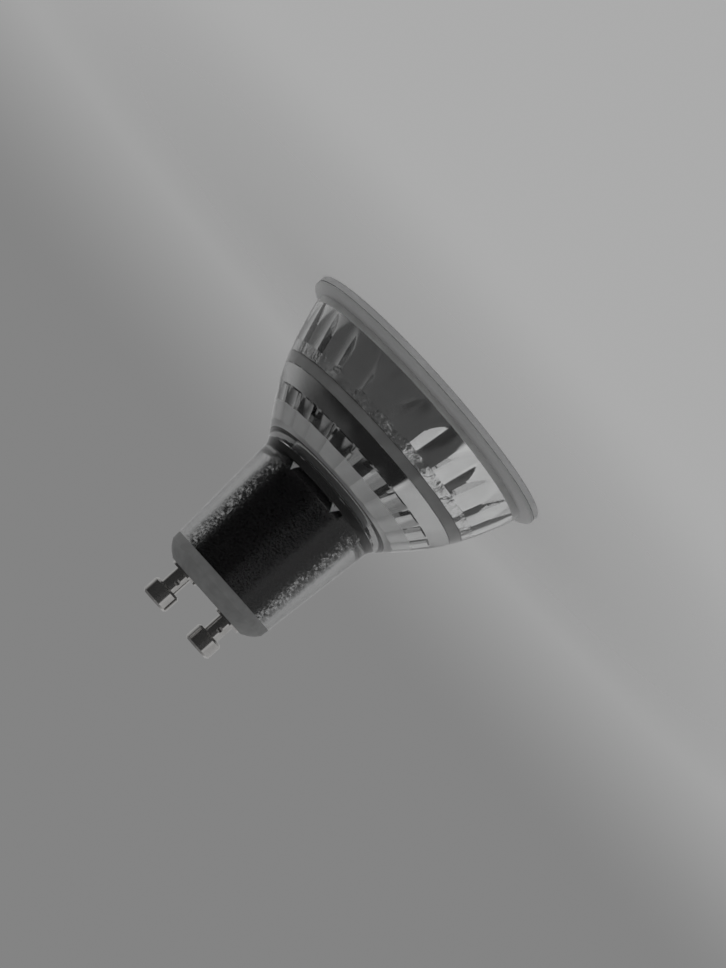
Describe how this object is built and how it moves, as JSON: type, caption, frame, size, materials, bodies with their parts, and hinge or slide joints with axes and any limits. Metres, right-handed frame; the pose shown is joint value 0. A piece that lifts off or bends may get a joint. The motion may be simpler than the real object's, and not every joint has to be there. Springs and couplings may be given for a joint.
{
  "type": "reflector lamp",
  "caption": "Reflector spotlight lamp: a clear pressed-glass body with a fluted mirrored bowl, a flat front lens, a slim neck with the driver inside and bayonet pins on the base.",
  "frame": {"origin": "centre of the front face of the lens, which is the lowest point", "axes": "+Z along the lamp's axis from the light face to the pins, the light shines towards -Z; the pins stand on the X axis"},
  "size_m": [0.05, 0.05, 0.0531],
  "materials": {
    "clear_glass": "polished pressed glass",
    "lens_clear": "clear polycarbonate",
    "silicone": "satin",
    "board_white": "white solder mask on aluminium",
    "dam_white": "satin",
    "phosphor": "matte",
    "solder": "bright tin",
    "wire_red": "satin",
    "wire_black": "satin",
    "wire_brown": "satin",
    "wire_blue": "satin",
    "sleeve_black": "glossy moulded",
    "board_green": "solder mask",
    "can_sleeve": "shrink sleeve",
    "film_case": "satin",
    "ferrite": "matte",
    "copper_wire": "lacquered",
    "chip_black": "matte",
    "resistor_coat": "satin",
    "chip_ceramic": "satin",
    "nickel": "nickel plated"
  },
  "bodies": {
    "root": {"glass_housing": "clear_glass", "front_lens": "lens_clear", "lens_adhesive": "silicone", "led_board": "board_white", "led_dam": "dam_white", "led_phosphor": "phosphor", "led_solder": "solder", "led_wire_positive": "wire_red", "led_wire_negative": "wire_black", "board_adhesive": "silicone", "driver_sleeve": "sleeve_black", "driver_board": "board_green", "electrolytic_capacitor": "can_sleeve", "film_capacitor": "film_case", "choke_core": "ferrite", "choke_winding": "copper_wire", "bridge_rectifier": "chip_black", "driver_ic": "chip_black", "fuse_resistor": "resistor_coat", "chip_parts": "chip_ceramic", "supply_wire_left": "wire_brown", "supply_wire_right": "wire_blue", "contact_pin_left": "nickel", "contact_pin_right": "nickel", "pin_washer_left": "nickel", "pin_washer_right": "nickel"}
  },
  "joints": []
}
